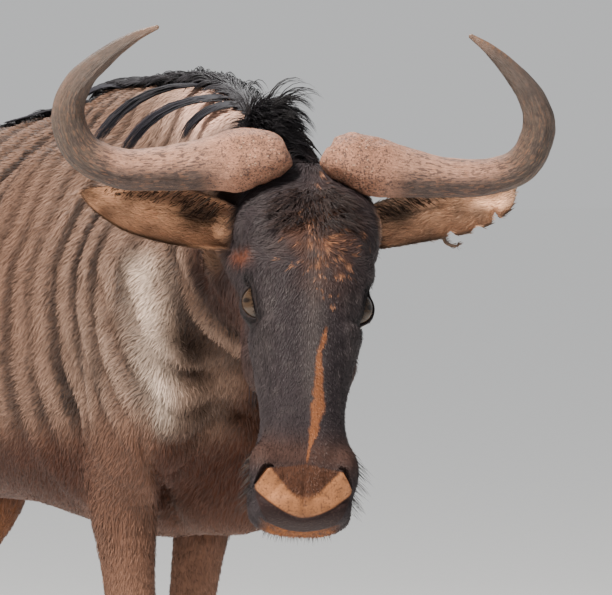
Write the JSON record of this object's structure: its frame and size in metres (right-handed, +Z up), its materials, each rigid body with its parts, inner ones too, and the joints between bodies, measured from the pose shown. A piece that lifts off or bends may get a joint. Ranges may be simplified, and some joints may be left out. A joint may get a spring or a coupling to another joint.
{
  "type": "wildebeest",
  "caption": "Life-size standing blue wildebeest with lowered head turned to its right, curved horns, mane, beard and brush tail, as a still museum model",
  "frame": {"origin": "on the floor, under the middle of the bounding box", "axes": "+Z up; the trunk faces -Y; the animal's right side is at -X; the face looks 30 degrees to its right"},
  "size_m": [0.6998, 1.9971, 1.4564],
  "materials": {
    "hide": "short grey-brown coat with dark brindle bands",
    "dark_hide": "short near-black hair of the face",
    "ear_hair": "tan ear with pale fringe hair",
    "eye": "dark brown, wet gloss",
    "horn": "ribbed rough boss, smoother grey-brown shaft and tip",
    "hoof": "dark worn horn with a dull shine",
    "long_hair": "coarse black hair"
  },
  "bodies": {
    "root": {"head": "dark_hide", "neck": "hide", "forequarters": "hide", "barrel": "hide", "hindquarters": "hide", "tail": "hide", "foreleg_right": "hide", "foreleg_left": "hide", "hindleg_right": "hide", "hindleg_left": "hide", "ear_right": "ear_hair", "ear_left": "ear_hair", "eye_right": "eye", "eye_left": "eye", "horn_right": "horn", "horn_left": "horn", "mane": "long_hair", "beard": "long_hair", "tail_brush": "long_hair", "forehoof_right_right": "hoof", "forehoof_right_left": "hoof", "forehoof_left_right": "hoof", "forehoof_left_left": "hoof", "hindhoof_right_right": "hoof", "hindhoof_right_left": "hoof", "hindhoof_left_right": "hoof", "hindhoof_left_left": "hoof"}
  },
  "joints": []
}
